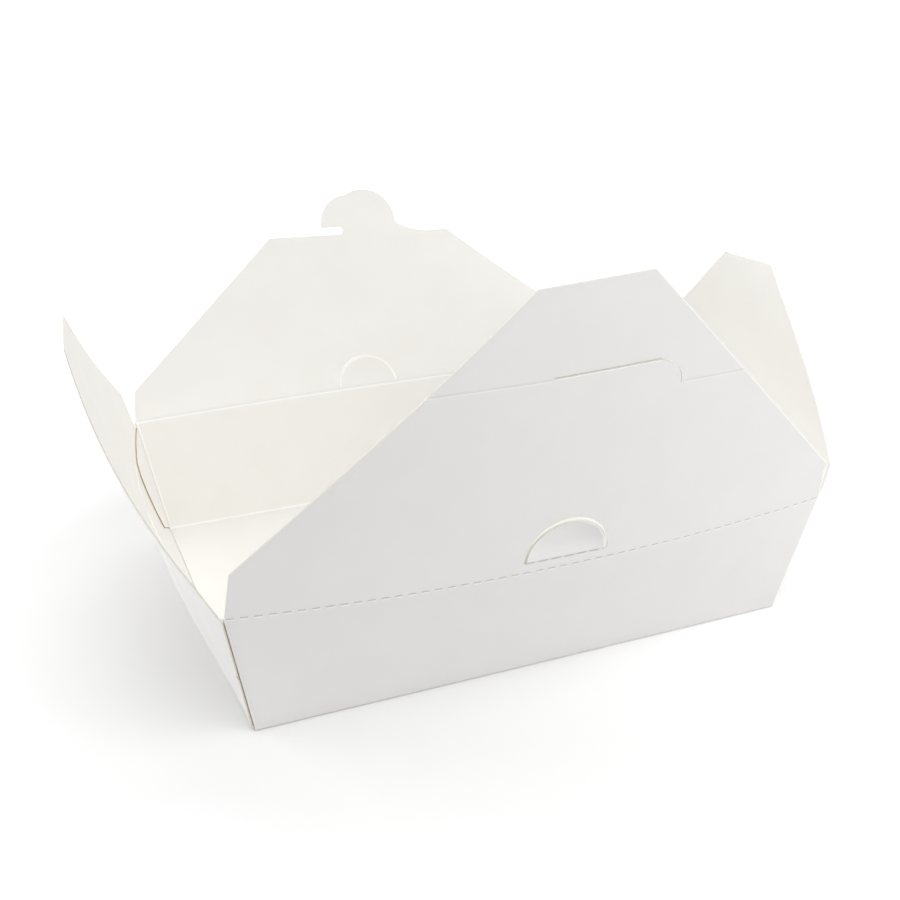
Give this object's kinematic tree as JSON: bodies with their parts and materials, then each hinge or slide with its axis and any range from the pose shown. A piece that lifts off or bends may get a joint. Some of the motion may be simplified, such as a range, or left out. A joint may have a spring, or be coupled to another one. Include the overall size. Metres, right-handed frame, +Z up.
{
  "type": "takeout food box",
  "caption": "Low rectangular paperboard food box, shown open: flaring walls and lid flaps with slanted edges, half-moon vent tabs, a hook and a slit that lock the lid.",
  "frame": {"origin": "middle of the underside of the base, where the box stands on the table", "axes": "+X along the long side to the right, +Y from the front wall to the back wall, +Z up"},
  "size_m": [0.2627, 0.2229, 0.1471],
  "materials": {
    "coated_board": "matte"
  },
  "bodies": {
    "tray": {"tray": "coated_board"},
    "front_flap": {"front_flap": "coated_board"},
    "back_flap": {"back_flap": "coated_board"},
    "right_flap": {"right_flap": "coated_board"},
    "left_flap": {"left_flap": "coated_board"}
  },
  "joints": [
    {"name": "front_crease", "type": "hinge", "parent": "tray", "child": "front_flap", "pos_m": [0, -0.0795, 0.048], "axis": [-1, 0, 0], "range_deg": [-101, 102.4]},
    {"name": "back_crease", "type": "hinge", "parent": "tray", "child": "back_flap", "pos_m": [0, 0.0795, 0.048], "axis": [1, 0, 0], "range_deg": [-89, 117.5]},
    {"name": "right_crease", "type": "hinge", "parent": "tray", "child": "right_flap", "pos_m": [0.108, 0, 0.0472], "axis": [0, -1, 0], "range_deg": [-105, 105]},
    {"name": "left_crease", "type": "hinge", "parent": "tray", "child": "left_flap", "pos_m": [-0.108, 0, 0.0472], "axis": [0, 1, 0], "range_deg": [-100, 112]}
  ]
}
